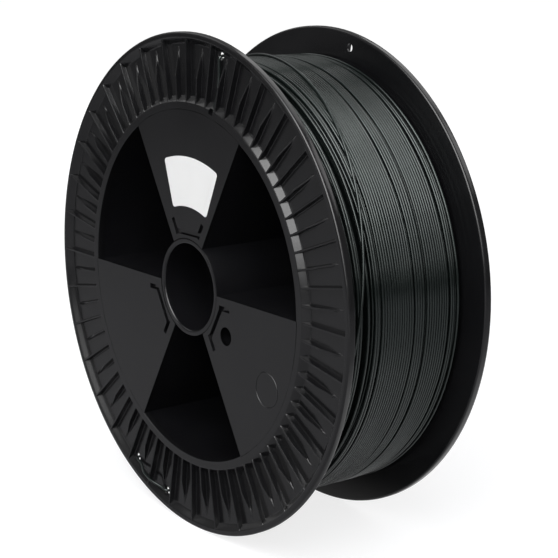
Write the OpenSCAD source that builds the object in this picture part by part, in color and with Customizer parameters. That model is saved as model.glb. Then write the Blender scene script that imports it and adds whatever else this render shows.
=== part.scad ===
// Large filament spool: two ribbed flange mouldings on a spoked core, wound with 1.75 mm filament.
// The axis lies along Y. The front faces -Y, Z is up and the origin is the bore's centre at mid-width.

/* [Spool] */
// Outer diameter of both flanges
flange_d = 300; // [296:1:320]
// Width over both flanges
spool_w = 103; // [90:1:120]
// Diameter of the bore that takes the spindle
bore_d = 52; // [50.5:0.5:53]
// Bevel at each mouth of the bore
bore_bevel = 0.4; // [0.2:0.1:0.8]

/* [Core] */
// Wall of the hub tube round the bore
hub_wall = 3.3; // [2.8:0.1:3.8]
// Outer diameter of the barrel that carries the windings
barrel_d = 214.8; // [210:0.2:216]
// Wall of the barrel
barrel_wall = 2.5; // [2:0.1:3.5]
// Thickness of the walls that join hub and barrel
spoke_t = 2; // [1.5:0.1:3]

/* [Flange] */
// Thickness of a flange at its rim and its inner ring
flange_t = 5; // [4.5:0.1:6]
// Thickness of the pocket floor between the ribs
floor_t = 1.5; // [1.2:0.1:2.2]
// Flat front of the rim, up to the outer edge
rim_flat = 3.2; // [2.8:0.1:4]
// Rounding of the rim's two outer edges
rim_round = 1.2; // [0.6:0.1:1.4]
// Flat front of the inner ring, over the barrel's end
ring_flat = 4.8; // [4:0.1:6]
// Number of full-height ribs
rib_count = 36; // [24:6:42]
// Thickness of ribs and gussets
rib_t = 1.3; // [1:0.1:1.8]
// Drop of ribs and gussets below the rim and the inner ring
rib_drop = 0.1; // [0.05:0.05:0.3]
// Full-height length of a gusset, from the inner ring
gusset_flat = 15.3; // [8:0.1:17]
// Length over which a gusset slopes down to the floor
gusset_slope = 15.5; // [8:0.1:17]

/* [Webs] */
// Thickness of the closed sectors between the windows
web_t = 2.5; // [2:0.1:3.2]
// Diameter of the drive hole
drive_d = 11; // [10:0.1:12]
// Distance of the drive hole from the axis
drive_r = 44.5; // [43:0.5:52]
// Wall of the boss behind the drive hole
drive_wall = 2; // [1.5:0.1:3]
// Depth of the drive hole with its boss
drive_depth = 12; // [8:0.5:16]
// Bevel at the mouth of the drive hole
drive_bevel = 0.5; // [0.3:0.1:0.8]
// Diameter of the raised plain ring on a web
mark_d = 21; // [16:1:24]
// Distance of the raised ring from the axis
mark_r = 90; // [80:1:91]
// Height and width of the raised ring's bead
mark_bead = 0.4; // [0.3:0.1:0.8]

/* [Latches] */
// Gap between the hub tube and a latch
latch_gap = 2.1; // [1.8:0.1:2.6]
// Thickness of a latch's back and sides
latch_t = 2.6; // [2:0.1:3]
// Distance from a web's edge to a latch's side
latch_inset = 5.1; // [4.8:0.1:5.6]
// Lap of a latch's back over its sides
latch_lap = 0.36; // [0.2:0.02:1]
// Length of a latch's sides past the hub tube
latch_side_l = 12.7; // [9:0.1:16]
// Length of a latch along the axis
latch_l = 24; // [16:1:30]
// Depth of a latch's end below the web's face
latch_sink = 1.9; // [0.3:0.1:2.2]
// Clearance of latches, hub tube and spigots in their seats
fit = 0.2; // [0.1:0.05:0.3]
// Length of the spigots that centre a flange in the barrel
spigot_l = 4; // [3:0.5:8]
// Thickness of the spigots
spigot_t = 2; // [1.5:0.1:3]

/* [Filament] */
// Diameter of the filament
filament_d = 1.75; // [1.5:0.05:1.9]
// Depth of the windings over the barrel
winding_h = 26.1; // [13:0.1:27]
// Turns of the outer layer
turn_count = 24; // [12:1:24]
// Clearance of the filament from what it lies on
lay_gap = 0.3; // [0.25:0.05:0.5]
// Diameter of the holes that hold a filament end
tie_hole_d = 5; // [4:0.5:6]
// Place of those holes between the windings (0) and the rim (1)
tie_place = 0.6; // [0.4:0.05:0.65]
// Radius of the filament's bends at those holes
tie_round = 3; // [2.5:0.1:3.2]
// Width of the notch that lets the first turn out
notch_w = 4; // [3:0.5:5]
// Length of the first end past the hole it is led through
start_l = 2.2; // [1:0.2:6]

/* [Label] */
// Thickness of the blank label
label_t = 0.2; // [0.1:0.05:0.4]
// Inner radius of the label
label_r0 = 48.5; // [44:0.5:60]
// Outer radius of the label
label_r1 = 78; // [70:0.5:95]
// First and last angle of the label, seen from the front
label_angles = [66.1, 107.5];
// Corner radius of the label
label_corner = 2; // [0.5:0.5:4]

/* [Hidden] */

half_w = spool_w / 2;
half_in = half_w - flange_t;
flange_r = flange_d / 2;
bore_r = bore_d / 2;
hub_r = bore_r + hub_wall;
barrel_r = barrel_d / 2;
window_r = barrel_r - barrel_wall;
window_span = 60;
pocket_h = flange_t - floor_t;
ring_r = window_r + ring_flat;
rim_r = flange_r - rim_flat;
rib_step = 360 / rib_count;
rib_top = flange_t - rib_drop;
web_z = flange_t - web_t;
latch_r = hub_r + latch_gap;
latch_half = latch_r * tan(window_span / 2) - (latch_inset + latch_t) / cos(window_span / 2) + latch_lap;
web_mids = [90, 210, 330];
spoke_edges = [[60, 0], [120, -1], [180, 0], [240, -1], [300, 0], [360, -1]];
weld = 1;

// Angles of the holes in the pocket floors
front_ties = [77.2, 242, 257];
rear_ties = [282];
winding_r = barrel_r + winding_h;
tie_hole_r = winding_r + tie_place * (rim_r - winding_r);
notch_angle = 76.7;

// Filament on the drum
fil_r = filament_d / 2;
ring_steps = 24;
turn_r = winding_r - fil_r;
pack_r = turn_r * cos(180 / ring_steps) - fil_r - lay_gap;
turn_y = half_in - lay_gap - fil_r;
turn_pitch = 2 * turn_y / turn_count;
turn_end = -60;
bend_r = 1.2 * filament_d;
settle_steps = 4;

$fn = 180;

// ---- plane shapes ----

module wedge(a0, a1, reach) {
    mid = (a0 + a1) / 2;
    polygon([[0, 0], reach * [cos(a0), sin(a0)], 1.4 * reach * [cos(mid), sin(mid)], reach * [cos(a1), sin(a1)]]);
}

module arc_band(r0, r1, a0, a1) {
    intersection() {
        difference() {
            circle(r1);
            circle(r0);
        }
        wedge(a0, a1, 2 * r1);
    }
}

// U-shaped outline of a latch, with its open side away from the axis
module latch_outline(grow) {
    translate([latch_r - grow, -latch_half - grow])
        square([latch_t + 2 * grow, 2 * (latch_half + grow)]);
    for (side = [0, 1])
        mirror([0, side])
            rotate(window_span / 2)
                translate([latch_r - grow, -latch_inset - latch_t - grow])
                    square([latch_side_l - latch_gap + 2 * grow, latch_t + 2 * grow]);
}

// ---- flange moulding: inner face at z = 0, outer face at z = flange_t ----

// Section of the inner ring, the pocket and the rim
module flange_section() {
    low_edge = [for (a = [-90:15:0]) [flange_r - rim_round, rim_round] + rim_round * [cos(a), sin(a)]];
    high_edge = [for (a = [0:15:90])
        [flange_r - rim_round, flange_t - rim_round] + rim_round * [cos(a), sin(a)]];
    polygon(concat(
        [[window_r, 0]],
        low_edge,
        high_edge,
        [[rim_r, flange_t], [rim_r - pocket_h, floor_t], [ring_r + pocket_h, floor_t],
         [ring_r, flange_t], [window_r, flange_t]]));
}

module ribs() {
    for (i = [0:rib_count - 1])
        rotate(i * rib_step)
            translate([ring_r - weld, -rib_t / 2, floor_t / 2])
                cube([rim_r - ring_r + 2 * weld, rib_t, rib_top - floor_t / 2]);
}

module gussets() {
    crest = ring_r + gusset_flat;
    // the slope runs on below the floor's surface
    toe = crest + gusset_slope * (rib_top - floor_t / 2) / (rib_top - floor_t);
    for (i = [0:rib_count - 1])
        rotate((i + 0.5) * rib_step)
            rotate([90, 0, 0])
                linear_extrude(rib_t, center = true)
                    polygon([[ring_r - weld, floor_t / 2], [toe, floor_t / 2],
                             [crest, rib_top], [ring_r - weld, rib_top]]);
}

module webs() {
    for (mid = web_mids) {
        translate([0, 0, web_z])
            linear_extrude(web_t)
                arc_band(hub_r + fit, window_r + weld, mid - window_span / 2, mid + window_span / 2);
        // spigot that centres the flange inside the barrel
        for (part = [[-spigot_l, window_r - fit], [0, window_r + weld]])
            translate([0, 0, part[0]])
                linear_extrude(web_z + weld / 2 - part[0])
                    arc_band(window_r - fit - spigot_t, part[1], mid - window_span / 2 + 4,
                             mid + window_span / 2 - 4);
    }
}

module drive_boss() {
    translate([0, 0, flange_t - drive_depth])
        cylinder(h = drive_depth - web_t / 2, r = drive_d / 2 + drive_wall, $fn = 48);
}

module drive_hole() {
    translate([0, 0, -drive_depth])
        cylinder(h = 3 * drive_depth, r = drive_d / 2, $fn = 48);
    translate([0, 0, flange_t - drive_bevel])
        cylinder(h = 2 * drive_bevel, r1 = drive_d / 2, r2 = drive_d / 2 + 2 * drive_bevel, $fn = 48);
}

module mark_bead_ring() {
    translate([0, 0, flange_t - weld])
        difference() {
            cylinder(h = weld + mark_bead, r = mark_d / 2, $fn = 72);
            translate([0, 0, -weld])
                cylinder(h = 4 * weld, r = mark_d / 2 - 2 * mark_bead, $fn = 72);
        }
}

module flange_moulding(ties) {
    drive_angle = web_mids[2];
    difference() {
        union() {
            rotate_extrude()
                flange_section();
            ribs();
            gussets();
            webs();
            rotate(drive_angle) {
                translate([drive_r, 0, 0])
                    drive_boss();
                translate([mark_r, 0, 0])
                    mark_bead_ring();
            }
        }
        rotate(drive_angle)
            translate([drive_r, 0, 0])
                drive_hole();
        for (mid = web_mids)
            rotate(mid)
                translate([0, 0, -drive_depth])
                    linear_extrude(flange_t + weld + drive_depth)
                        latch_outline(fit);
        for (a = ties)
            rotate(a)
                translate([tie_hole_r, 0, -weld])
                    cylinder(h = flange_t + 2 * weld, r = tie_hole_d / 2, $fn = 32);
        // notch that lets the first turn out beside the barrel
        rotate(notch_angle)
            translate([barrel_r, -notch_w / 2, -weld])
                cube([filament_d + 2 * lay_gap + weld, notch_w, flange_t + 2 * weld]);
    }
}

module front_flange() {
    color("#26282b")
        rotate([90, 0, 0])
            translate([0, 0, half_in])
                flange_moulding(front_ties);
}

module rear_flange() {
    color("#2c2e31")
        rotate([-90, 0, 0])
            translate([0, 0, half_in])
                flange_moulding(rear_ties);
}

// ---- core: hub tube, walls, barrel and latches, with z along the axis ----

module latches() {
    root_z = half_w - latch_l;
    for (mid = web_mids)
        rotate(mid) {
            translate([0, 0, root_z])
                linear_extrude(latch_l - latch_sink)
                    latch_outline(0);
            translate([hub_r - weld, -latch_t, root_z])
                cube([latch_gap + 2 * weld, 2 * latch_t, latch_l - web_t - lay_gap]);
        }
}

module core() {
    color("#1f2123")
        rotate([90, 0, 0])
            difference() {
                union() {
                    cylinder(h = spool_w, r = hub_r, center = true);
                    linear_extrude(2 * half_in, center = true)
                        difference() {
                            circle(barrel_r);
                            circle(window_r);
                        }
                    intersection() {
                        for (edge = spoke_edges)
                            rotate(edge[0])
                                translate([hub_r - weld, edge[1] * spoke_t, web_t - half_w])
                                    cube([window_r - hub_r + 2 * weld, spoke_t, spool_w - 2 * web_t]);
                        union() {
                            cylinder(h = spool_w, r = window_r - fit, center = true);
                            cylinder(h = 2 * half_in, r = window_r + weld, center = true);
                        }
                    }
                    latches();
                    rotate([180, 0, 0])
                        latches();
                }
                cylinder(h = 2 * spool_w, r = bore_r, center = true);
                for (end = [0, 1])
                    mirror([0, 0, end])
                        translate([0, 0, half_w - bore_bevel])
                            cylinder(h = 2 * bore_bevel, r1 = bore_r, r2 = bore_r + 2 * bore_bevel);
            }
}

// ---- filament ----

module filament_pack() {
    color("#3a3d3f")
        rotate([90, 0, 0])
            linear_extrude(2 * (half_in - lay_gap), center = true)
                difference() {
                    circle(pack_r);
                    circle(barrel_r + lay_gap);
                }
}

function unit(v) = v / norm(v);

// Direction of a route at point i
function heading(pts, i) =
    unit(pts[min(i + 1, len(pts) - 1)] - pts[max(i - 1, 0)]);

// Side vectors carried along a route without twist
function carried(pts, side0) =
    [for (i = 0, s = unit(side0 - (side0 * heading(pts, 0)) * heading(pts, 0));
          i < len(pts);
          i = i + 1,
          s = i < len(pts) ? unit(s - (s * heading(pts, i)) * heading(pts, i)) : s) s];

// One unbroken tube along a route, with flat ends and triangular faces
module tube(pts, r, sides, side0) {
    n = len(pts);
    s = carried(pts, side0);
    rings = [for (i = [0:n - 1])
        let (t = heading(pts, i), u = cross(t, s[i]))
        for (k = [0:sides - 1])
            pts[i] + r * cos(360 * k / sides) * s[i] + r * sin(360 * k / sides) * u];
    walls = [for (i = [0:n - 2]) for (k = [0:sides - 1])
        let (a = i * sides + k, b = i * sides + (k + 1) % sides)
        each [[a, a + sides, b + sides], [a, b + sides, b]]];
    caps = [for (k = [1:sides - 2])
        each [[0, k, k + 1], [(n - 1) * sides, (n - 1) * sides + k + 1, (n - 1) * sides + k]]];
    polyhedron(rings, concat(walls, caps));
}

// Point at radius r and angle a, seen from the front, at depth y
function polar(r, a, y) = [r * cos(a), y, r * sin(a)];

// Outer layer: rises square out of the pack by the rear flange and winds clockwise to the front
turn_total = turn_count * ring_steps;
turn_start = turn_end + 360 * turn_count;
bend_top = pack_r + filament_d + bend_r;
bend_angle = bend_r / turn_r * 180 / PI;
outer_route = concat(
    [polar(pack_r, turn_start + bend_angle, turn_y)],
    [for (a = [0:22.5:90])
        polar(pack_r + filament_d + bend_r * sin(a),
              turn_start + bend_angle * cos(a), turn_y)],
    [for (i = [1:turn_total])
        polar(turn_r + (bend_top - turn_r) * max(0, 1 - i / settle_steps),
              turn_start - 360 * i / ring_steps, turn_y - turn_pitch * i / ring_steps)]);

// Least gap between a turn and the next, measured on the route's points
turn_gap = min([for (i = [0:len(outer_route) - 1])
    for (j = [i + ring_steps / 2:min(i + 3 * ring_steps / 2, len(outer_route) - 1)])
        norm(outer_route[i] - outer_route[j])]) - filament_d;
echo(turn_gap = turn_gap);

module filament_outer_turns() {
    color("#4a4d4e")
        tube(outer_route, fil_r, 6, [0, 1, 0]);
}

// Last end: along the front flange, out through one tie hole, over the ribs and back in at the next
tie_y0 = -turn_y;
tie_y1 = -half_w - lay_gap - fil_r;
tie_out = front_ties[2] - 360;
tie_in = front_ties[1] - 360;
tie_deg = tie_round / tie_hole_r * 180 / PI;
tie_mid = (tie_out + tie_in) / 2;
tie_half = (tie_out - tie_in) / 2 - tie_deg;
tail_route = concat(
    [for (i = [0:6]) polar(turn_r + (tie_hole_r - turn_r) * (1 - cos(30 * i)) / 2,
                           turn_end + (tie_out + tie_deg + 4 - turn_end) * i / 6, tie_y0)],
    [for (a = [0:22.5:90])
        polar(tie_hole_r, tie_out + tie_deg * (1 - sin(a)), tie_y0 - tie_round * (1 - cos(a)))],
    [for (a = [0:22.5:90])
        polar(tie_hole_r, tie_out - tie_deg * (1 - cos(a)), tie_y1 + tie_round * (1 - sin(a)))],
    [for (i = [1:6]) let (a = tie_half * (1 - 2 * i / 7))
        polar(tie_hole_r * cos(tie_half) / cos(a), tie_mid + a, tie_y1)],
    [for (a = [0:22.5:90])
        polar(tie_hole_r, tie_in + tie_deg * (1 - sin(a)), tie_y1 + tie_round * (1 - cos(a)))],
    [polar(tie_hole_r, tie_in, tie_y0 + tie_round)]);

module filament_tail_end() {
    color("#7d847c")
        tube(tail_route, fil_r, 8, [0, 1, 0]);
}

// First end: square out of the pack's face, through the notch, along a pocket and in at a tie hole
start_r = barrel_r + lay_gap + fil_r;
start_y0 = lay_gap - half_in;
start_y1 = -half_in - floor_t - lay_gap - fil_r;
start_bend = start_y0 - filament_d - start_y1;
start_round = 2.5;
start_bow = 0.9;
start_route = concat(
    [polar(start_r, notch_angle, start_y0)],
    [for (a = [0:22.5:90])
        polar(start_r + start_bend * (1 - cos(a)), notch_angle,
              start_y0 - filament_d - start_bend * sin(a))],
    [for (i = [1:10])
        polar(start_r + start_bend + (tie_hole_r - start_round - start_r - start_bend) * i / 10,
              notch_angle + (front_ties[0] - notch_angle) * i / 10 - start_bow * sin(18 * i), start_y1)],
    [for (a = [22.5:22.5:90])
        polar(tie_hole_r - start_round * (1 - sin(a)), front_ties[0], start_y1 + start_round * (1 - cos(a)))],
    [polar(tie_hole_r, front_ties[0], start_y1 + start_round + start_l)]);

module filament_start_end() {
    color("#7d847c")
        tube(start_route, fil_r, 8, [1, 0, 0]);
}

// ---- label ----

module label() {
    color("white")
        rotate([90, 0, 0])
            translate([0, 0, half_w])
                linear_extrude(label_t)
                    offset(r = label_corner, $fn = 32)
                        offset(delta = -label_corner)
                            arc_band(label_r0, label_r1, label_angles[0], label_angles[1]);
}

front_flange();
rear_flange();
core();
filament_pack();
filament_outer_turns();
filament_tail_end();
filament_start_end();
label();
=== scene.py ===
# A large filament spool: two ribbed black flanges on a spoked core, wound with dark grey filament.
# Metres, axis along Y, labelled front facing -Y, Z up, origin in the middle of the bore.
import math

import bmesh
import bpy
from mathutils import Matrix, Vector


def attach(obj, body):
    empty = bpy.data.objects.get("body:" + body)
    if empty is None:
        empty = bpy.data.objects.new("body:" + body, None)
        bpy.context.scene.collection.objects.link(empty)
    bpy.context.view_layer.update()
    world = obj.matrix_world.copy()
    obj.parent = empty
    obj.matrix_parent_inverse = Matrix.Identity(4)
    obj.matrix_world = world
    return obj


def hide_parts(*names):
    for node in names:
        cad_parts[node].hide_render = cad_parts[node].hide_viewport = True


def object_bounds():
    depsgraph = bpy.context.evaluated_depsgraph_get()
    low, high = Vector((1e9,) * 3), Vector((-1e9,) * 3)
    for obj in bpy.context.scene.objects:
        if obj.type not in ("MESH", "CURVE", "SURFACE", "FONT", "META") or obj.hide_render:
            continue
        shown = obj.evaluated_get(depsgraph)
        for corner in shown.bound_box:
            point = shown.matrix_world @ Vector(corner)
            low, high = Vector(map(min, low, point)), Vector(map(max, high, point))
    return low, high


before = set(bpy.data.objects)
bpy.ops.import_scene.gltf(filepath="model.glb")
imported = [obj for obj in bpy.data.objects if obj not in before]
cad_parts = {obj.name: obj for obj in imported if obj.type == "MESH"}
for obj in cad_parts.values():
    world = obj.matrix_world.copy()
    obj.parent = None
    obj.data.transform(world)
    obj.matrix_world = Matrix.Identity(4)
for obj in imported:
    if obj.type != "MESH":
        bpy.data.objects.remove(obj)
cad_lo, cad_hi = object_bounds()

# ---------------------------------------------------------------- studio
# A white sweep under soft boxes, as a shop shoots such a spool: one big box high at the right of the camera,
# a strip across the front for the rims, and weak panels at the left, above, behind and at the right.
mm = 0.001
view_azimuth = math.radians(53.06)
view_elevation = math.radians(12.57)
camera_lens = 99.37
camera_away = 0.9442
camera_aside = 0.01273
camera_below = 0.00188

view_back = Vector((math.sin(view_azimuth) * math.cos(view_elevation),
                    -math.cos(view_azimuth) * math.cos(view_elevation), math.sin(view_elevation)))
view_right = Vector((0, 0, 1)).cross(view_back).normalized()
view_up = view_back.cross(view_right)
camera = bpy.data.objects.new("camera", bpy.data.cameras.new("camera"))
camera.data.sensor_width = 36
camera.data.lens = camera_lens
camera.location = view_back * camera_away + view_right * camera_aside - view_up * camera_below
camera.rotation_mode = "QUATERNION"
camera.rotation_quaternion = (-view_back).to_track_quat("-Z", "Y")
bpy.context.scene.collection.objects.link(camera)
bpy.context.scene.camera = camera
bpy.context.scene.view_settings.view_transform = "Standard"


def soft_box(name, towards, distance, width, height, power, upright=(0, 0, 1)):
    """Area lamp that hangs in the given direction and faces the spool."""
    lamp = bpy.data.lights.new(name, "AREA")
    lamp.shape = "RECTANGLE"
    lamp.size = width
    lamp.size_y = height
    lamp.energy = power
    box = bpy.data.objects.new(name, lamp)
    box.visible_camera = False
    direction = Vector(towards).normalized()
    across = Vector(upright).cross(direction).normalized()
    along = direction.cross(across)
    box.location = direction * distance
    box.rotation_mode = "QUATERNION"
    box.rotation_quaternion = Matrix((across, along, direction)).transposed().to_quaternion()
    bpy.context.scene.collection.objects.link(box)


# three boxes behind one another, so that the light fades towards the main box's ends
main_towards = (0.449, -0.518, 0.729)
main_upright = (-0.74, 0.241, 0.628)
for distance, height, power in ((1.7, 1.3, 13), (1.72, 2.0, 17), (1.74, 3.3, 29)):
    soft_box("main_box", main_towards, distance, width=1.4, height=height, power=power, upright=main_upright)
soft_box("front_strip", (0.236, -0.834, 0.495), distance=1.7, width=0.42, height=1.9, power=5,
         upright=(0.787, -0.227, -0.765))
soft_box("left_panel", (-0.56, -0.82, 0.02), distance=1.8, width=0.45, height=0.6, power=1.5)
soft_box("high_left_panel", (-0.72, -0.14, 0.68), distance=1.9, width=1.1, height=1.1, power=3.2)
soft_box("top_panel", (-0.2, 0.58, 0.78), distance=1.8, width=1.3, height=1.0, power=5.5)
soft_box("back_right_box", (0.42, 0.64, 0.64), distance=1.8, width=0.7, height=0.7, power=3)
soft_box("right_box", (1.0, 0.15, 0.25), distance=2.0, width=0.5, height=0.9, power=0.6)


def wire(tree, kind, mode=None, **values):
    """New node in the given mode, with its inputs set to values or linked to other nodes' outputs.
    i0, i1 and i2 are inputs by number, and in a name an underscore stands for a space."""
    node = tree.nodes.new(kind)
    if mode and kind == "ShaderNodeMix":
        node.data_type = mode
    elif mode and kind == "ShaderNodeMapRange":
        node.interpolation_type = mode
    elif mode:
        node.operation = mode
    for key, value in values.items():
        by_number = key[0] == "i" and key[1:].isdigit()
        socket = node.inputs[int(key[1:]) if by_number else key.replace("_", " ")]
        if isinstance(value, bpy.types.NodeSocket):
            tree.links.new(value, socket)
        else:
            socket.default_value = value
    return node


def seen_as_white(tree, gloss_share):
    """Share of the white background that this kind of ray sees instead of the studio's real light."""
    ray = wire(tree, "ShaderNodeLightPath").outputs
    straight = wire(tree, "ShaderNodeMath", "MAXIMUM", i0=ray["Is Camera Ray"], i1=ray["Is Transmission Ray"])
    share = wire(tree, "ShaderNodeMath", "MULTIPLY_ADD", i0=ray["Is Glossy Ray"], i1=gloss_share,
                 i2=straight.outputs[0])
    share.use_clamp = True
    return share.outputs[0]


world = bpy.data.worlds.new("white_room")
bpy.context.scene.world = world
world.use_nodes = True
room = world.node_tree
room_light = room.nodes["Background"]
room_light.inputs["Color"].default_value = (1, 1, 1, 1)
room_light.inputs["Strength"].default_value = 0.08
room_seen = wire(room, "ShaderNodeBackground", Color=(1, 1, 1, 1), Strength=1.0)
room_mix = wire(room, "ShaderNodeMixShader", i0=seen_as_white(room, 0.1), i1=room_light.outputs[0],
                i2=room_seen.outputs[0])
room.links.new(room_mix.outputs[0], room.nodes["World Output"].inputs["Surface"])

floor_reach = 14
floor_z = cad_lo.z - 0.2 * mm
floor_mesh = bpy.data.meshes.new("floor")
floor_mesh.from_pydata([(x * floor_reach, y * floor_reach, floor_z)
                        for x, y in ((-1, -1), (1, -1), (1, 1), (-1, 1))], [], [(0, 1, 2, 3)])
floor = bpy.data.objects.new("floor", floor_mesh)
bpy.context.scene.collection.objects.link(floor)
floor_paint = bpy.data.materials.new("white_sweep")
floor_paint.use_nodes = True
sweep = floor_paint.node_tree
sweep_coat = sweep.nodes["Principled BSDF"]
sweep_coat.inputs["Base Color"].default_value = (0.26, 0.26, 0.27, 1)
sweep_coat.inputs["Roughness"].default_value = 0.9
sweep_coat.inputs["Specular IOR Level"].default_value = 0
sweep_place = wire(sweep, "ShaderNodeTexCoord").outputs["Object"]
sweep_reach = wire(sweep, "ShaderNodeVectorMath", "LENGTH", i0=sweep_place).outputs["Value"]
sweep_white = wire(sweep, "ShaderNodeMapRange", "SMOOTHSTEP", Value=sweep_reach, From_Min=0.3, From_Max=1.8,
                   To_Min=0.8, To_Max=1.0)
# in the spool's reflections the floor glows with painted light instead of its real light: a painted shadow
# beneath the spool, dim towards the front, a painted bright pool just past the rim behind it, and less of it
# far away
painted_gloss_glow_by_reach = wire(sweep, "ShaderNodeValToRGB", Fac=sweep_reach)
painted_glow_stops = painted_gloss_glow_by_reach.color_ramp.elements
for stop, (reach, grey) in zip((painted_glow_stops[0], painted_glow_stops[1]), ((0.155, 0.35), (0.6, 0.03))):
    stop.position = reach
    stop.color = (grey, grey, grey, 1)
for reach, grey in ((0.19, 1), (0.3, 0.9), (0.42, 0.25)):
    painted_glow_stops.new(reach).color = (grey, grey, grey, 1)
sweep_across = wire(sweep, "ShaderNodeSeparateXYZ", i0=sweep_place)
# painted shade on the floor in front of and beneath the spool, painted glow behind it, seen only by glossy
# rays
painted_gloss_shadow_and_glow = wire(sweep, "ShaderNodeMapRange", "SMOOTHSTEP", Value=sweep_across.outputs["Y"],
                   From_Min=-0.01, From_Max=0.05, To_Min=0.03, To_Max=painted_gloss_glow_by_reach.outputs["Color"])
sweep_ray = seen_as_white(sweep, painted_gloss_shadow_and_glow.outputs["Result"])
sweep_backdrop_and_painted_share = wire(sweep, "ShaderNodeMath", "MULTIPLY", i0=sweep_ray, i1=sweep_white.outputs["Result"])
# camera rays see this emission as the evenly white backdrop; glossy rays see the painted shadow and painted
# glow
sweep_backdrop_and_painted_glow = wire(sweep, "ShaderNodeEmission", Strength=sweep_backdrop_and_painted_share.outputs[0])
sweep_sum = wire(sweep, "ShaderNodeAddShader", i0=sweep_coat.outputs[0], i1=sweep_backdrop_and_painted_glow.outputs[0])
sweep.links.new(sweep_sum.outputs[0], sweep.nodes["Material Output"].inputs["Surface"])
floor_mesh.materials.append(floor_paint)

# ---------------------------------------------------------------- flange mouldings
# Each flange is one black polystyrene moulding: an inner ring over the barrel's end, a rim, and between
# them a thin floor with 36 ribs and 36 sloping gussets. Three closed webs reach in to the hub.
half_w = 51.5 * mm
flange_t = 5 * mm
floor_t = 1.5 * mm
flange_r = 149.95 * mm
window_r = 104.9 * mm
window_round = 0.3 * mm
window_cut = 0.09 * mm
ring_r = 109.7 * mm
rim_r = 146.8 * mm
rim_round = 1.3 * mm
step_blend = 0.3 * mm
foot_blend = 0.4 * mm
foot_start = 3.1 * mm
foot_end = 3.9 * mm
rib_count = 36
rib_top = 4.9 * mm
rib_half = 0.65 * mm
rib_draft = 0.12 * mm
crest_round = 0.42 * mm
root_round = 0.45 * mm
gusset_crest_r = 125 * mm
gusset_toe_r = 140.5 * mm
gusset_bend = 1 * mm
weld_reach = 0.002 * mm
inner_y = half_w - flange_t


def linked(name, mesh):
    piece = bpy.data.objects.new(name, mesh)
    bpy.context.scene.collection.objects.link(piece)
    return piece


def steps_between(start, *stretches):
    """Radii from start in equal steps up to the end of each (end, count) in turn."""
    values = []
    for end, count in stretches:
        values += [start + (end - start) * i / count for i in range(count)]
        start = end
    return values + [start]


def blend_low(a, b, round_):
    """The lower of two heights, with the corner between them rounded."""
    share = max(round_ - abs(a - b), 0) / round_
    return min(a, b) - share * share * round_ / 4


def blend_high(a, b, round_):
    return -blend_low(-a, -b, round_)


def plain_height(r):
    """Height of the ring, the floor and the rim, with the slopes between them."""
    slope = max(flange_t - (r - ring_r), flange_t - (rim_r - r))
    return blend_low(flange_t, blend_high(floor_t, slope, foot_blend), step_blend)


def rib_section(crest):
    """(distance from the rib's middle, height) from its crest down one side to the floor."""
    bend = 1 - math.sqrt(0.5)
    foot = rib_half + rib_draft
    heights = (crest, crest, crest - bend * crest_round, crest - crest_round,
               min(floor_t + root_round, crest - crest_round),
               min(floor_t + bend * root_round, crest - crest_round), floor_t)
    offsets = (0, rib_half - crest_round, rib_half - bend * crest_round, rib_half,
               foot, foot + bend * root_round, foot + root_round)
    return [(offset, max(height, floor_t)) for offset, height in zip(offsets, heights)]


def cell_lines(r):
    """(angle, height) across one ten-degree cell: half a gusset, a rib and half a gusset."""
    half_cell = math.pi / rib_count
    slope = (r - gusset_crest_r) / (gusset_toe_r - gusset_crest_r)
    gusset_top = min(rib_top, rib_top - (rib_top - floor_t) * slope)
    rib_side = [(math.asin(s / r), h) for s, h in rib_section(rib_top)]
    gusset_side = [(half_cell - math.asin(s / r), h) for s, h in rib_section(gusset_top)]
    middle = [((rib_side[-1][0] + gusset_side[-1][0]) / 2, floor_t)]
    right = rib_side + middle + gusset_side[::-1]
    left = [(-a, h) for a, h in right[:0:-1]]
    return left + right


front_radii = steps_between(
    window_r + window_round, (ring_r - step_blend, 2), (ring_r + step_blend, 4), (ring_r + foot_start, 4),
    (ring_r + foot_end, 4), (gusset_crest_r - gusset_bend, 4), (gusset_crest_r + gusset_bend, 3),
    (gusset_toe_r + gusset_bend, 9), (rim_r - foot_end, 2), (rim_r - foot_start, 4),
    (rim_r - step_blend, 4), (rim_r + step_blend, 4), (flange_r - rim_round, 1))
rim_edge = [(flange_r - rim_round + rim_round * math.sin(a), flange_t - rim_round + rim_round * math.cos(a))
            for a in (math.radians(18 * i) for i in range(1, 6))]
rim_back = [(r, flange_t - z) for r, z in rim_edge[::-1]] + [(flange_r - rim_round, 0)]
ring_back = [(window_r + (flange_r - rim_round - window_r) * s, 0) for s in (0.8, 0.5, 0.2)]
ring_edge = [(window_r + window_round, 0), (window_r + window_cut, window_cut), (window_r, window_round),
             (window_r, flange_t - window_round), (window_r + window_cut, flange_t - window_cut)]


def flange_cell():
    """One cell of the ribbed ring, closed round its section and open at its two sides."""
    columns = []
    for r in front_radii:
        columns.append([(a, r, max(plain_height(r), h)) for a, h in cell_lines(r)])
    for r, z in rim_edge + rim_back + ring_back + ring_edge:
        columns.append([(a, r, z) for a, h in cell_lines(r)])
    across = len(columns[0])
    points = [(r * math.cos(a), -inner_y - z, r * math.sin(a)) for line in columns for a, r, z in line]
    faces = []
    for j in range(len(columns)):
        here = j * across
        there = (j + 1) % len(columns) * across
        faces += [(here + i, here + i + 1, there + i + 1, there + i) for i in range(across - 1)]
    mesh = bpy.data.meshes.new("flange_cell")
    mesh.from_pydata(points, [], faces)
    return mesh


def add_sockets(tree, in_out, *sockets):
    """Gives a node tree its named inputs or outputs, each (name, kind) or (name, kind, default)."""
    for name, kind, *default in sockets:
        socket = tree.interface.new_socket(name, in_out=in_out, socket_type="NodeSocket" + kind)
        if default:
            socket.default_value = default[0]


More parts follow.
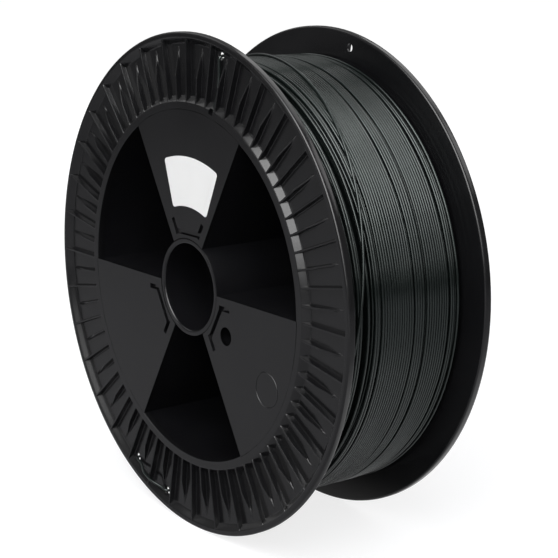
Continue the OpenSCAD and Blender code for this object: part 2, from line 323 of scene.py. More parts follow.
def copies_round_axis():
    """Node tree that repeats its geometry round the spool's axis and welds the copies."""
    tree = bpy.data.node_groups.new("copies_round_axis", "GeometryNodeTree")
    add_sockets(tree, "INPUT", ("Geometry", "Geometry"), ("Copies", "Int", rib_count),
                ("Material", "Material"))
    add_sockets(tree, "OUTPUT", ("Geometry", "Geometry"))
    given = tree.nodes.new("NodeGroupInput").outputs
    points = wire(tree, "GeometryNodePoints", Count=given["Copies"])
    index = wire(tree, "GeometryNodeInputIndex")
    turn = wire(tree, "ShaderNodeMath", "DIVIDE", i0=2 * math.pi, i1=given["Copies"])
    angle = wire(tree, "ShaderNodeMath", "MULTIPLY", i0=turn.outputs[0], i1=index.outputs[0])
    spin = wire(tree, "ShaderNodeCombineXYZ", Y=angle.outputs[0])
    place = wire(tree, "GeometryNodeInstanceOnPoints", Points=points.outputs[0], Instance=given["Geometry"],
                 Rotation=spin.outputs[0])
    realize = wire(tree, "GeometryNodeRealizeInstances", Geometry=place.outputs[0])
    weld = wire(tree, "GeometryNodeMergeByDistance", Geometry=realize.outputs[0], Distance=weld_reach)
    dress = wire(tree, "GeometryNodeSetMaterial", Geometry=weld.outputs[0], Material=given["Material"])
    wire(tree, "NodeGroupOutput", i0=dress.outputs[0])
    return tree


def grown(name, source, tree, **given):
    """Runs a node tree on a mesh with the given inputs, and returns the plain mesh piece."""
    piece = linked(name, source)
    modifier = piece.modifiers.new(tree.name, "NODES")
    modifier.node_group = tree
    for item in tree.interface.items_tree:
        key = item.name.replace(" ", "_").lower()
        if item.item_type == "SOCKET" and item.in_out == "INPUT" and key in given:
            modifier[item.identifier] = given[key]
    bpy.context.view_layer.update()
    evaluated = piece.evaluated_get(bpy.context.evaluated_depsgraph_get())
    result = bpy.data.meshes.new_from_object(evaluated)
    piece.modifiers.remove(modifier)
    piece.data = result
    result.name = name
    return piece


def face_outwards(piece):
    bm = bmesh.new()
    bm.from_mesh(piece.data)
    bmesh.ops.recalc_face_normals(bm, faces=bm.faces)
    bm.to_mesh(piece.data)
    bm.free()


def turned(name, profile, steps, centre=(0, 0)):
    """Closed section of (radius, y) points turned round an axis along Y through centre (x, z)."""
    points = []
    faces = []
    count = len(profile)
    for i in range(steps):
        a = 2 * math.pi * i / steps
        points += [(centre[0] + r * math.cos(a), y, centre[1] + r * math.sin(a)) for r, y in profile]
        faces += [(i * count + j, i * count + (j + 1) % count,
                   (i + 1) % steps * count + (j + 1) % count, (i + 1) % steps * count + j)
                  for j in range(count)]
    mesh = bpy.data.meshes.new(name)
    mesh.from_pydata(points, [], faces)
    piece = linked(name, mesh)
    face_outwards(piece)
    return piece


def applied(piece):
    """Bakes the modifiers into the mesh."""
    bpy.context.view_layer.update()
    evaluated = piece.evaluated_get(bpy.context.evaluated_depsgraph_get())
    result = bpy.data.meshes.new_from_object(evaluated)
    piece.modifiers.clear()
    piece.data = result
    return piece


def joined(name, parts):
    """Puts the meshes of several parts into one piece."""
    bm = bmesh.new()
    for part in parts:
        bm.from_mesh(part.data)
    mesh = bpy.data.meshes.new(name)
    bm.to_mesh(mesh)
    bm.free()
    for part in parts:
        bpy.data.objects.remove(part)
    return linked(name, mesh)


sharp_angle = math.radians(32)
flat_normal = 0.9999


def smooth_faces(piece):
    """Smooth shading, except on the flats across the axis, which stay flat up to their rounded edges."""
    piece.data.set_sharp_from_angle(angle=sharp_angle)
    for face in piece.data.polygons:
        face.use_smooth = abs(face.normal.y) < flat_normal


def covered(piece, material):
    """Gives all of a piece one material."""
    piece.data.materials.clear()
    piece.data.materials.append(material)


# black polystyrene: grain, flow marks and fine scuffs are one effect that both mouldings' plastics share
moulded_finish = bpy.data.node_groups.new("moulded_finish", "ShaderNodeTree")
add_sockets(moulded_finish, "INPUT", ("Grain Scale", "Float"), ("Scuffs", "Float"))
add_sockets(moulded_finish, "OUTPUT", ("Tone", "Float"), ("Roughness", "Float"), ("Height", "Float"))
finish_in = moulded_finish.nodes.new("NodeGroupInput").outputs
finish_place = wire(moulded_finish, "ShaderNodeTexCoord").outputs["Object"]
grain = wire(moulded_finish, "ShaderNodeTexNoise", Vector=finish_place, Scale=finish_in["Grain Scale"],
             Detail=2.0, Roughness=0.6)
flow = wire(moulded_finish, "ShaderNodeTexNoise", Vector=finish_place, Scale=22.0, Detail=3.0,
            Distortion=1.2)
stretch = wire(moulded_finish, "ShaderNodeMapping", Vector=finish_place, Rotation=(0.4, 0.7, 0.2),
               Scale=(600.0, 600.0, 35.0))
scratch = wire(moulded_finish, "ShaderNodeTexNoise", Vector=stretch.outputs[0], Scale=1.0, Detail=1.0)
scratch_mask = wire(moulded_finish, "ShaderNodeMapRange", Value=scratch.outputs["Fac"], From_Min=0.66,
                    From_Max=0.74)
scuff = wire(moulded_finish, "ShaderNodeMath", "MULTIPLY", i0=scratch_mask.outputs[0],
             i1=finish_in["Scuffs"])
tone = wire(moulded_finish, "ShaderNodeMath", "MULTIPLY_ADD", i0=scuff.outputs[0], i1=0.5,
            i2=flow.outputs["Fac"])
rough_flow = wire(moulded_finish, "ShaderNodeMath", "MULTIPLY_ADD", i0=flow.outputs["Fac"], i1=0.08, i2=0.16)
rough_all = wire(moulded_finish, "ShaderNodeMath", "MULTIPLY_ADD", i0=scuff.outputs[0], i1=0.15,
                 i2=rough_flow.outputs[0])
wire(moulded_finish, "NodeGroupOutput", Tone=tone.outputs[0], Roughness=rough_all.outputs[0],
     Height=grain.outputs["Fac"])


def surfaced(name, ior):
    """New material, its node tree and its shader."""
    material = bpy.data.materials.new(name)
    material.use_nodes = True
    shader = material.node_tree.nodes["Principled BSDF"]
    shader.inputs["IOR"].default_value = ior
    return material, material.node_tree, shader


def coat(tree, shader, tone, dark, light, roughness, height, strength, depth):
    """Leads a varying tone between two colours, a roughness and a relief to a material's shader."""
    shade = wire(tree, "ShaderNodeMix", "RGBA", Factor=tone, A=(*dark, 1), B=(*light, 1))
    relief = wire(tree, "ShaderNodeBump", Height=height, Strength=strength, Distance=depth)
    tree.links.new(shade.outputs["Result"], shader.inputs["Base Color"])
    tree.links.new(roughness, shader.inputs["Roughness"])
    tree.links.new(relief.outputs[0], shader.inputs["Normal"])


def moulded_plastic(name, dark, light, grain_scale, scuffs, strength):
    material, tree, shader = surfaced(name, ior=1.5)
    finish = tree.nodes.new("ShaderNodeGroup")
    finish.node_tree = moulded_finish
    finish.inputs["Grain Scale"].default_value = grain_scale
    finish.inputs["Scuffs"].default_value = scuffs
    coat(tree, shader, finish.outputs["Tone"], dark, light, finish.outputs["Roughness"],
         finish.outputs["Height"], strength, depth=0.05 * mm)
    return material


flange_plastic = moulded_plastic("black_polystyrene", dark=(0.003, 0.003, 0.0034),
                                 light=(0.006, 0.006, 0.0066), grain_scale=2600, scuffs=0.3, strength=0.25)

# webs: closed sectors flush with the ring's front, with the latch slots and the drive hole cut out
web_middles = (90, 210, 330)
web_half = 30
web_t = 2.5 * mm
web_bevel = 0.45 * mm
web_outer_r = window_r + 0.7 * mm
hub_hole_r = 29.5 * mm
small_bevel = 0.3 * mm
latch_back = 31.4 * mm
latch_t = 2.6 * mm
latch_half = 9.6 * mm
latch_inset = 5.1 * mm
latch_reach = 42 * mm
latch_fit = 0.2 * mm
drive_r = 44.5 * mm
drive_hole_r = 5.5 * mm
drive_wall = 2 * mm
drive_depth = 12 * mm
drive_sink = 0.6 * mm
drive_angle = math.radians(330)
mark_r = 90 * mm
mark_ring_r = 10.1 * mm
mark_bead = 0.4 * mm
mark_flatness = 0.8
spigot_half = 26
spigot_l = 6.5 * mm
spigot_outer_r = window_r - 0.2 * mm
spigot_inner_r = window_r - 2.2 * mm


def polar(r, angle):
    return Vector((r * math.cos(angle), r * math.sin(angle)))


def arc_points(r, a0, a1, count):
    return [polar(r, a0 + (a1 - a0) * i / count) for i in range(count + 1)]


def latch_outline(grow):
    """U outline with its back towards the hub: one half, then its mirror image."""
    side = math.radians(30)
    along = polar(1, side)
    across = Vector((-along.y, along.x))
    back = latch_back - grow
    front = latch_back + latch_t + grow
    near = -(latch_inset + latch_t + grow)
    far = -(latch_inset - grow)
    half = latch_half + grow
    # where the leg's two sides cross the lines of the back
    inner_corner = Vector((front, (near - front * -along.y) / across.y))
    outer_start = along * (back * along.x + half * along.y) + across * far
    upper = [Vector((back, half)), outer_start, along * (latch_reach + grow) + across * far,
             along * (latch_reach + grow) + across * near, inner_corner]
    lower = [Vector((p.x, -p.y)) for p in upper[::-1]]
    return upper + lower


def rotated(points, angle):
    turn = Matrix.Rotation(angle, 2)
    return [turn @ p for p in points]


def flat_plate(name, outlines, thickness, bevel, front_y):
    """Plate across Y from closed outlines (the inner ones are holes) in x and z, with rounded edges."""
    curve = bpy.data.curves.new(name, "CURVE")
    curve.dimensions = "2D"
    curve.fill_mode = "BOTH"
    curve.extrude = thickness / 2
    for outline in outlines:
        spline = curve.splines.new("POLY")
        spline.points.add(len(outline) - 1)
        for point, spot in zip(spline.points, outline):
            point.co = (spot.x, spot.y, 0, 1)
        spline.use_cyclic_u = True
    shape = linked(name, curve)
    bpy.context.view_layer.update()
    mesh = bpy.data.meshes.new_from_object(shape.evaluated_get(bpy.context.evaluated_depsgraph_get()))
    bpy.data.objects.remove(shape)
    mesh.transform(Matrix.Translation((0, front_y + thickness / 2, 0)) @ Matrix.Rotation(math.pi / 2, 4, "X"))
    bm = bmesh.new()
    bm.from_mesh(mesh)
    bmesh.ops.remove_doubles(bm, verts=bm.verts, dist=0.001 * mm)
    bmesh.ops.recalc_face_normals(bm, faces=bm.faces)
    bm.to_mesh(mesh)
    bm.free()
    plate = linked(name, mesh)
    edge = plate.modifiers.new("edge", "BEVEL")
    edge.width = bevel
    edge.segments = 3
    edge.angle_limit = math.radians(60)
    return applied(plate)


def drive_boss(centre):
    """Tube behind a web, round the drive hole."""
    start = -half_w + drive_sink
    end = -half_w + drive_depth
    outer_r = drive_hole_r + drive_wall
    return turned("drive_boss", [
        (drive_hole_r, start), (drive_hole_r, end - small_bevel), (drive_hole_r + small_bevel, end),
        (outer_r - small_bevel, end), (outer_r, end - small_bevel), (outer_r, start)], 48, centre)


def flange_webs(name):
    outlines = []
    for middle in web_middles:
        a0 = math.radians(middle - web_half)
        a1 = math.radians(middle + web_half)
        outlines.append(arc_points(web_outer_r, a0, a1, 60) + arc_points(hub_hole_r, a1, a0, 24))
        outlines.append(rotated(latch_outline(latch_fit), math.radians(middle)))
    drive_at = polar(drive_r, drive_angle)
    outlines.append([drive_at + p for p in arc_points(drive_hole_r, 0, 2 * math.pi, 48)[:-1]])
    plate = flat_plate(name, outlines, web_t, web_bevel, -half_w)
    boss = drive_boss(drive_at)
    bead = turned("mark_bead", [
        (mark_ring_r + mark_bead * math.cos(a), -half_w - mark_flatness * mark_bead * math.sin(a))
        for a in (math.radians(45 * i) for i in range(8))], 72, polar(mark_r, drive_angle))
    spigots = []
    for middle in web_middles:
        a0 = math.radians(middle - spigot_half)
        a1 = math.radians(middle + spigot_half)
        outline = arc_points(spigot_outer_r, a0, a1, 40) + arc_points(spigot_inner_r, a1, a0, 40)
        spigots.append(flat_plate("spigot", [outline], spigot_l, small_bevel, -half_w + web_t - small_bevel))
    return joined(name, [plate, boss, bead] + spigots)


# tie holes for the filament's ends, and the notch that lets the first turn out
tie_hole_r = 2.5 * mm
tie_lead_in = 0.3 * mm
tie_circle_r = 141.5 * mm
first_tie = 77.2
tie_in = -118
tie_out = -103
rear_tie = -78
drill_tip_r = 0.001 * mm
drill_front = 8 * mm
drill_back = 4 * mm
notch_angle = math.radians(76.7)
notch_inner_r = 107.4 * mm
notch_outer_r = 110.75 * mm
notch_half = 2 * mm
notch_front = 4 * mm
notch_deep = 12 * mm


def cut(piece, cutters):
    for cutter in cutters:
        opening = piece.modifiers.new("opening", "BOOLEAN")
        opening.operation = "DIFFERENCE"
        opening.solver = "EXACT"
        opening.object = cutter
    applied(piece)
    for cutter in cutters:
        bpy.data.objects.remove(cutter)
    return piece


def tie_drill(degrees):
    """Drill for a hole that holds a filament end, with a slight lead-in at the floor's front."""
    face = -inner_y - floor_t
    start = face - drill_front
    end = face + drill_back
    return turned("tie_drill", [
        (drill_tip_r, start), (tie_hole_r + tie_lead_in, start), (tie_hole_r + tie_lead_in, face - 0.02 * mm),
        (tie_hole_r, face + tie_lead_in), (tie_hole_r, end), (drill_tip_r, end)],
        32, polar(tie_circle_r, math.radians(degrees)))


def notch_cutter():
    """Block for the notch that lets the first turn out beside the barrel."""
    outward = polar(1, notch_angle)
    aside = Vector((-outward.y, outward.x))
    spots = [outward * r + aside * s
             for r, s in ((notch_inner_r, -notch_half), (notch_inner_r, notch_half),
                          (notch_outer_r, notch_half), (notch_outer_r, -notch_half))]
    return flat_plate("notch_cutter", [spots], notch_deep, small_bevel, -half_w - notch_front)


ring_tree = copies_round_axis()


def flange_moulding(name, tie_angles, turned_over):
    ribbed = grown(name + "_ring", flange_cell(), ring_tree, copies=rib_count, material=flange_plastic)
    face_outwards(ribbed)
    cut(ribbed, [tie_drill(a) for a in tie_angles] + [notch_cutter()])
    flange = joined(name, [ribbed, flange_webs(name + "_webs")])
    if turned_over:
        flange.data.transform(Matrix.Rotation(math.pi, 4, "X"))
    covered(flange, flange_plastic)
    smooth_faces(flange)
    return flange


front_flange = flange_moulding("front_flange_moulding", (first_tie, tie_in, tie_out), False)
rear_flange = flange_moulding("rear_flange_moulding", (rear_tie,), True)
for flange, node in ((front_flange, "front_flange"), (rear_flange, "rear_flange")):
    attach(flange, "root")
    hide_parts(node)

# ---------------------------------------------------------------- core
# The core is a second black moulding: the hub tube with the spindle bore, the barrel under the windings,
# six thin walls between them, and the U-shaped tongues that snap into the flanges' slots.
bore_r = 26 * mm
hub_r = 29.3 * mm
barrel_r = 107.4 * mm
wall_t = 2 * mm
wall_sink = 1 * mm
wall_extra = 1.5 * mm
wall_bevel = 0.25 * mm
latch_l = 24 * mm
latch_sink = 1.9 * mm
neck_l = 20 * mm
neck_sink = 0.5 * mm
neck_reach = 1 * mm
core_plastic = moulded_plastic("black_core_plastic", dark=(0.003, 0.003, 0.0036),
                               light=(0.006, 0.006, 0.0068), grain_scale=1900, scuffs=0.2, strength=0.2)

# the bore's rounded lip, then the tube's outer edge: millimetres aside and down from the sharp corner
bore_lip = ((0, 1.4), (0.1, 0.8), (0.35, 0.35), (0.75, 0.08), (1.2, 0))
tube_edge = ((0.7, 0), (0.2, 0.2), (0, 0.7))
hub_end = [(bore_r + aside * mm, half_w - down * mm) for aside, down in bore_lip]
hub_end += [(hub_r - aside * mm, half_w - down * mm) for aside, down in tube_edge]
hub_tube = turned("hub_tube", hub_end + [(r, -y) for r, y in hub_end[::-1]], 144)
barrel = turned("barrel", [(window_r, -inner_y), (barrel_r, -inner_y), (barrel_r, inner_y),
                           (window_r, inner_y)], 180)


def wall_pair():
    """The two walls that stand behind one front web, flush with the windows beside it."""
    parts = []
    for degrees, side in ((60, 1), (120, -1)):
        bm = bmesh.new()
        bmesh.ops.create_cube(bm, size=1)
        length = window_r - hub_r + wall_extra
        height = 2 * (half_w - web_t)
        place = (Matrix.Rotation(-math.radians(degrees), 4, "Y")
                 @ Matrix.Translation((hub_r - wall_sink + length / 2, 0, side * wall_t / 2))
                 @ Matrix.Diagonal((length, height, wall_t, 1)))
        bmesh.ops.transform(bm, matrix=place, verts=bm.verts)
        bmesh.ops.bevel(bm, geom=bm.edges[:], offset=wall_bevel, segments=2, affect="EDGES")
        mesh = bpy.data.meshes.new("wall")
        bm.to_mesh(mesh)
        bm.free()
        parts.append(linked("wall", mesh))
    return parts


def latch_tongue():
    """The tongue in the upper slot, and the neck that joins it to the hub tube."""
    upwards = math.radians(90)
    tongue = flat_plate("latch_tongue", [rotated(latch_outline(0), upwards)], latch_l - latch_sink,
                        small_bevel, -half_w + latch_sink)
    neck = [Vector((hub_r - neck_sink, -latch_t)), Vector((latch_back + neck_reach, -latch_t)),
            Vector((latch_back + neck_reach, latch_t)), Vector((hub_r - neck_sink, latch_t))]
    root = flat_plate("latch_neck", [rotated(neck, upwards)], neck_l, small_bevel,
                      -half_w + web_t + neck_sink)
    return [tongue, root]


front_half = joined("front_half", wall_pair() + latch_tongue())
rear_latch = joined("rear_latch", latch_tongue())
rear_latch.data.transform(Matrix.Rotation(math.pi, 4, "X"))
third = joined("third_of_core", [front_half, rear_latch])
inside = grown("core_inside", third.data, ring_tree, copies=3, material=core_plastic)
bpy.data.objects.remove(third)
core = joined("core_moulding", [hub_tube, barrel, inside])
covered(core, core_plastic)
smooth_faces(core)
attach(core, "root")
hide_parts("core")

# ---------------------------------------------------------------- windings
# One strand of 1.75 mm filament, level-wound in some fifteen layers. The outer layer stops short of the
# front flange, where the layer below and a few loose turns show.
strand = 1.75 * mm
strand_r = strand / 2
layer_r = 132.6 * mm
layer_rise = 1.5 * mm
gap_spread = 0.16


def filament_plastic():
    material, tree, shader = surfaced("grey_filament", ior=1.57)
    shader.inputs["Specular Tint"].default_value = (0.91, 1.0, 0.97, 1)
    place = wire(tree, "ShaderNodeTexCoord").outputs["Object"]
    cloud = wire(tree, "ShaderNodeTexNoise", Vector=place, Scale=38.0, Detail=4.0).outputs["Fac"]
    fine = wire(tree, "ShaderNodeTexNoise", Vector=place, Scale=2600.0, Detail=1.0).outputs["Fac"]
    gloss = wire(tree, "ShaderNodeMath", "MULTIPLY_ADD", i0=cloud, i1=0.04, i2=0.12).outputs[0]
    coat(tree, shader, cloud, (0.004, 0.0056, 0.0053), (0.0068, 0.009, 0.0086), gloss,
         fine, strength=0.03, depth=0.02 * mm)
    return material


filament = filament_plastic()


def sweep_strand(tree, line, radius, sides, material):
    """Sweeps a round strand along a line of points, and ends the tree with it."""
    path = wire(tree, "GeometryNodeMeshToCurve", Mesh=line)
    section = wire(tree, "GeometryNodeCurvePrimitiveCircle", Resolution=sides, Radius=radius)
    swept = wire(tree, "GeometryNodeCurveToMesh", Curve=path.outputs[0], Profile_Curve=section.outputs[0],
                 Fill_Caps=True)
    smooth = wire(tree, "GeometryNodeSetShadeSmooth", Geometry=swept.outputs[0])
    realize = wire(tree, "GeometryNodeRealizeInstances", Geometry=smooth.outputs[0])
    dress = wire(tree, "GeometryNodeSetMaterial", Geometry=realize.outputs[0], Material=material)
    wire(tree, "NodeGroupOutput", i0=dress.outputs[0])


def winding_tree(gaps):
    """Node tree for one level-wound layer: a strand swept along a helix that wanders a little.
    At each (turn, width) of gaps the helix steps aside by that share of the Gap input and leaves a
    dark line, and each stretch between two gaps lies a little higher or lower than the one before."""
    tree = bpy.data.node_groups.new("wound_layer", "GeometryNodeTree")
    add_sockets(tree, "INPUT", ("Turns", "Float", 10.0), ("Steps Per Turn", "Int", 120),
                ("First Y", "Float"), ("Pitch", "Float", strand), ("Layer Radius", "Float", layer_r),
                ("First Angle", "Float"), ("Strand Radius", "Float", strand_r), ("Sides", "Int", 8),
                ("Gap", "Float"), ("Band Lift", "Float"), ("Shared Wave", "Float"), ("Wander", "Float"),
                ("Lift", "Float"), ("Seed", "Float", 1.0), ("Material", "Material"))
    add_sockets(tree, "OUTPUT", ("Geometry", "Geometry"))
    given = tree.nodes.new("NodeGroupInput").outputs

    def calc(operation, a, b=0.0, c=0.0):
        return wire(tree, "ShaderNodeMath", operation, i0=a, i1=b, i2=c).outputs[0]

    def wave(x, y, z, scale):
        """Noise between -0.5 and 0.5 that comes round again after a turn."""
        spot = wire(tree, "ShaderNodeCombineXYZ", X=x, Y=y, Z=z)
        noise = wire(tree, "ShaderNodeTexNoise", Vector=spot.outputs[0], Scale=scale, Detail=1.0)
        return calc("SUBTRACT", noise.outputs["Fac"], 0.5)

    count = calc("MULTIPLY_ADD", given["Turns"], given["Steps Per Turn"], 1.0)
    line = wire(tree, "GeometryNodeMeshLine", Count=count)
    index = tree.nodes.new("GeometryNodeInputIndex").outputs[0]
    turn = calc("DIVIDE", index, given["Steps Per Turn"])
    angle = calc("SUBTRACT", given["First Angle"], calc("MULTIPLY", turn, 2 * math.pi))
    cosine = calc("COSINE", angle)
    sine = calc("SINE", angle)
    shared = wave(cosine, sine, calc("MULTIPLY", turn, 0.05), scale=2.2)
    own = wave(cosine, sine, calc("ADD", calc("MULTIPLY", turn, 0.9), given["Seed"]), scale=1.6)
    rise = wave(sine, cosine, calc("ADD", calc("MULTIPLY", turn, 1.7), given["Seed"]), scale=1.9)
    depth = calc("SUBTRACT", given["First Y"], calc("MULTIPLY", turn, given["Pitch"]))
    radius = given["Layer Radius"]
    for number, (gap_turn, width) in enumerate(gaps):
        step = wire(tree, "ShaderNodeMapRange", "SMOOTHSTEP", Value=turn, From_Min=gap_turn - gap_spread,
                    From_Max=gap_turn + gap_spread).outputs["Result"]
        depth = calc("SUBTRACT", depth, calc("MULTIPLY", calc("MULTIPLY", step, width), given["Gap"]))
        lifted = calc("MULTIPLY", step, given["Band Lift"])
        radius = calc("ADD" if number % 2 else "SUBTRACT", radius, lifted)
    depth = calc("MULTIPLY_ADD", shared, given["Shared Wave"], depth)
    depth = calc("MULTIPLY_ADD", own, given["Wander"], depth)
    radius = calc("MULTIPLY_ADD", rise, given["Lift"], radius)
    spot = wire(tree, "ShaderNodeCombineXYZ", X=calc("MULTIPLY", cosine, radius), Y=depth,
                Z=calc("MULTIPLY", sine, radius))
    placed = wire(tree, "GeometryNodeSetPosition", Geometry=line.outputs[0], Position=spot.outputs[0])
    sweep_strand(tree, placed.outputs[0], given["Strand Radius"], given["Sides"], given["Material"])
    return tree


def wound(name, gaps=(), **given):
    """One wound layer, as a piece."""
    return grown(name, bpy.data.meshes.new("seed"), winding_tree(gaps), material=filament, **given)


last_y = inner_y - strand_r - 0.15 * mm
seam_angle = math.radians(215)
outer_layer = wound("winding_outer_layer", ((1.0, 1.6), (3.0, 1.6), (12.0, 1.5), (16.0, 1.2), (29.0, 1.2)),
                    turns=31.0, first_y=43.2 * mm, pitch=1.765 * mm, first_angle=seam_angle, gap=1.0 * mm,
                    band_lift=0.15 * mm, shared_wave=1.6 * mm, wander=0.3 * mm, lift=0.3 * mm, seed=3.0)
under_layer = wound("winding_layer_below", turns=35.0, steps_per_turn=90, sides=6, first_y=last_y,
                    pitch=1.84 * mm, layer_radius=layer_r - 1.6 * layer_rise, first_angle=seam_angle + 1,
                    shared_wave=1.2 * mm, wander=0.5 * mm, lift=0.3 * mm, seed=7.0)
deep_layer = wound("winding_layer_front", turns=15.0, sides=6, first_y=-18.6 * mm, pitch=1.8 * mm,
                   layer_radius=layer_r - 6.6 * layer_rise, first_angle=seam_angle,
                   shared_wave=0.6 * mm, wander=0.5 * mm, lift=0.3 * mm, seed=9.0)
loose_turns = wound("winding_loose_turns", ((1.0, 1.3), (3.0, 0.85), (5.0, 0.7)), turns=7.0,
                    first_y=-21.3 * mm, pitch=1.8 * mm, layer_radius=layer_r - 1.0 * mm,
                    first_angle=seam_angle, gap=2.9 * mm, shared_wave=2.0 * mm, wander=0.9 * mm,
                    lift=1.0 * mm, seed=12.0)

# the layers further down are one plain bed, lower beside the front flange
bed_sink = 1.2 * mm
bed_r = layer_r - 3.6 * layer_rise - bed_sink
low_bed_r = layer_r - 6.6 * layer_rise - bed_sink
bed_foot_r = barrel_r + 0.1 * mm
bed_end = inner_y - 0.3 * mm
bed_step = -18 * mm
bed = turned("winding_bed", [(bed_foot_r, -bed_end), (low_bed_r, -bed_end), (low_bed_r, bed_step),
                             (bed_r, bed_step), (bed_r, bed_end), (bed_foot_r, bed_end)], 180)
covered(bed, filament)
smooth_faces(bed)
for winding in (outer_layer, under_layer, deep_layer, loose_turns, bed):
    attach(winding, "root")
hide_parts("filament_pack")
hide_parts("filament_outer_turns")

# ---------------------------------------------------------------- filament ends
# The last turn crosses the layer, runs along the front flange and is tied out and in through two holes.
# The first end comes out through the notch, lies along a pocket and goes in at a third hole.
swept_strand = bpy.data.node_groups.new("swept_strand", "GeometryNodeTree")
add_sockets(swept_strand, "INPUT", ("Geometry", "Geometry"), ("Strand Radius", "Float"),
            ("Material", "Material"))
add_sockets(swept_strand, "OUTPUT", ("Geometry", "Geometry"))
route_in = swept_strand.nodes.new("NodeGroupInput").outputs
sweep_strand(swept_strand, route_in["Geometry"], route_in["Strand Radius"], 12, route_in["Material"])

clear = 0.3 * mm
tie_bend = 2.4 * mm
bend_degrees = math.degrees(tie_bend / tie_circle_r)
tie_low = -last_y
tie_floor = -inner_y - floor_t - clear - strand_r
tie_end = 2.5 * mm
rib_crest = -half_w - strand_r - clear
rib_clear = 1.1
rib_climb = 5
crossed_rib = -110
quarter = [math.radians(15 * i) for i in range(7)]


def strand_along(name, spots):
    mesh = bpy.data.meshes.new(name + "_route")
    mesh.from_pydata(spots, [(i, i + 1) for i in range(len(spots) - 1)], [])
    return grown(name, mesh, swept_strand, strand_radius=strand_r, material=filament)


def on_axis(r, degrees, y):
    a = math.radians(degrees)
    return Vector((r * math.cos(a), y, r * math.sin(a)))


def ease(x):
    x = min(max(x, 0), 1)
    return x * x * (3 - 2 * x)


# the last turn, in degrees round the axis: it leaves the layer, crosses it at a steady slope and, down
# beside the front flange, starts to climb to its hole
leave_at = 140
climb_at = -38
cross_at = 68
cross_y = -3 * mm
cross_slope = 0.405 * mm
cross_lift = 1.65 * mm
lift_within = 18
settle_at = 45
settle_within = 35
settle_share = 0.75
rest_lift = 0.41 * mm
tie_dip = 1.3 * mm


def last_turn_route():
    spots = []
    # out of the layer at the back of the top, over the layer, down to the front flange
    for i in range(181):
        degrees = leave_at - (leave_at - climb_at) * i / 180
        y = max(cross_y + cross_slope * (degrees - cross_at), tie_low)
        lift = (cross_lift * ease((leave_at - degrees) / lift_within)
                * (1 - settle_share * ease((settle_at - degrees) / settle_within)))
        spots.append(on_axis(layer_r + lift, degrees, y))
    # up the flange to the first hole, and out through it
    last = tie_out + bend_degrees
    climb = tie_circle_r - (layer_r + rest_lift)
    for i in range(1, 61):
        s = i / 60
        r = layer_r + rest_lift + climb * ease(s)
        spots.append(on_axis(r, climb_at + (last - climb_at) * s, tie_low))
    spots += [on_axis(tie_circle_r, tie_out + bend_degrees * (1 - math.sin(a)),
                      tie_low - tie_dip * (1 - math.cos(a))) for a in quarter[1:]]
    spots += [on_axis(tie_circle_r, tie_out - bend_degrees * (1 - math.cos(a)),
                      tie_floor + tie_bend * (1 - math.sin(a))) for a in quarter[1:]]
    # straight to the next hole, up over the rib between them
    middle = (tie_out + tie_in) / 2
    half = (tie_out - tie_in) / 2 - bend_degrees
    for i in range(1, 25):
        aside = half * (1 - i / 12)
        degrees = middle + aside
        r = tie_circle_r * math.cos(math.radians(half)) / math.cos(math.radians(aside))
        away = (abs(degrees - crossed_rib) - rib_clear) / rib_climb
        spots.append(on_axis(r, degrees, rib_crest + (tie_floor - rib_crest) * ease(away)))
    spots += [on_axis(tie_circle_r, tie_in + bend_degrees * (1 - math.sin(a)),
                      tie_floor + tie_bend * (1 - math.cos(a))) for a in quarter[1:]]
    spots.append(on_axis(tie_circle_r, tie_in, tie_floor + tie_bend + tie_end))
    return spots


last_turn = strand_along("filament_last_turn", last_turn_route())
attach(last_turn, "root")
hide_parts("filament_tail_end")

start_r = barrel_r + clear + strand_r
start_y = -inner_y + clear
start_bend = start_y - strand - tie_floor
start_tie_bend = 2.5 * mm
start_tie_end = 2 * mm
start_bow = 0.9
notch_at = math.degrees(notch_angle)


def first_end_route():
    # out through the notch, along the pocket with a slight bow, and in at the hole
    spots = [on_axis(start_r, notch_at, start_y)]
    spots += [on_axis(start_r + start_bend * (1 - math.cos(a)), notch_at,
                      start_y - strand - start_bend * math.sin(a)) for a in quarter]
    pocket_from = start_r + start_bend
    pocket_to = tie_circle_r - start_tie_bend
    spots += [on_axis(pocket_from + (pocket_to - pocket_from) * i / 20,
                      notch_at + (first_tie - notch_at) * i / 20 - start_bow * math.sin(math.radians(9 * i)),
                      tie_floor) for i in range(1, 21)]
    spots += [on_axis(tie_circle_r - start_tie_bend * (1 - math.sin(a)), first_tie,
                      tie_floor + start_tie_bend * (1 - math.cos(a))) for a in quarter[1:]]
    spots.append(on_axis(tie_circle_r, first_tie, tie_floor + start_tie_bend + start_tie_end))
    return spots


first_end = strand_along("filament_first_end", first_end_route())
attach(first_end, "root")
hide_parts("filament_start_end")

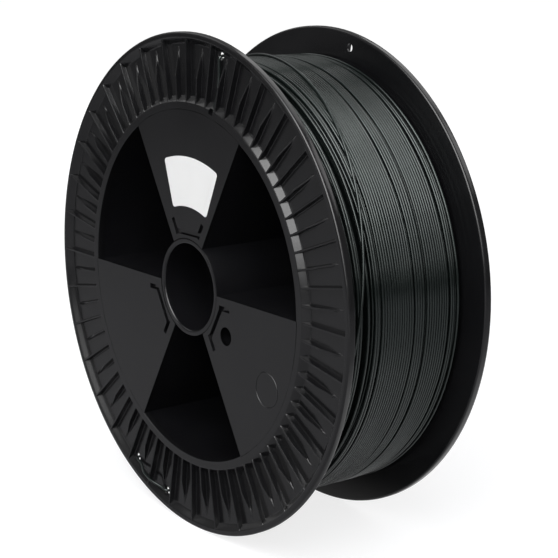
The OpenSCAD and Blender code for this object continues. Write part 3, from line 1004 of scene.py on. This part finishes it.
# ---------------------------------------------------------------- label
# A blank white self-adhesive label, cut as a ring sector with round corners, on the upper web.
# It is printing paper with a fine fibre relief and a faint unevenness in its white.
label_inner_r = 48.5 * mm
label_outer_r = 78 * mm
label_from = math.radians(66.1)
label_to = math.radians(107.5)
label_round = 2 * mm
label_t = 0.2 * mm
label_bevel = 0.06 * mm


def label_outline():
    """The corners in turn, each as a quarter round, with arcs between them along the two round sides."""
    spots = []
    corners = ((label_outer_r, label_from, -1, 1), (label_outer_r, label_to, -1, -1),
               (label_inner_r, label_to, 1, -1), (label_inner_r, label_from, 1, 1))
    for n, (r, a, inward, aside) in enumerate(corners):
        centre_r = r + inward * label_round
        centre_a = a + aside * math.asin(label_round / centre_r)
        out = polar(1, centre_a)
        side = Vector((-out.y, out.x))
        start = math.radians(90 * n - 90)
        spots += [out * centre_r + label_round * (out * math.cos(start + b) + side * math.sin(start + b))
                  for b in quarter]
        next_r, next_a, next_inward, next_aside = corners[(n + 1) % 4]
        if n in (0, 2):
            end_a = next_a + next_aside * math.asin(label_round / (next_r + next_inward * label_round))
            spots += [polar(r, centre_a + (end_a - centre_a) * i / 30) for i in range(1, 30)]
    return spots


label = flat_plate("blank_label", [label_outline()], label_t, label_bevel, -half_w - label_t)
paper, sheet, sheet_shader = surfaced("white_paper", ior=1.45)
sheet_place = wire(sheet, "ShaderNodeTexCoord").outputs["Object"]
fibre = wire(sheet, "ShaderNodeTexNoise", Vector=sheet_place, Scale=700.0, Detail=4.0).outputs["Fac"]
shadow_tone = wire(sheet, "ShaderNodeTexNoise", Vector=sheet_place, Scale=30.0, Detail=2.0).outputs["Fac"]
sheet_gloss = wire(sheet, "ShaderNodeMath", "MULTIPLY_ADD", i0=fibre, i1=0.2, i2=0.4).outputs[0]
coat(sheet, sheet_shader, shadow_tone, (0.7, 0.7, 0.7), (0.78, 0.78, 0.775), sheet_gloss,
     fibre, strength=0.15, depth=0.03 * mm)
covered(label, paper)
smooth_faces(label)
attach(label, "root")
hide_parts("label")
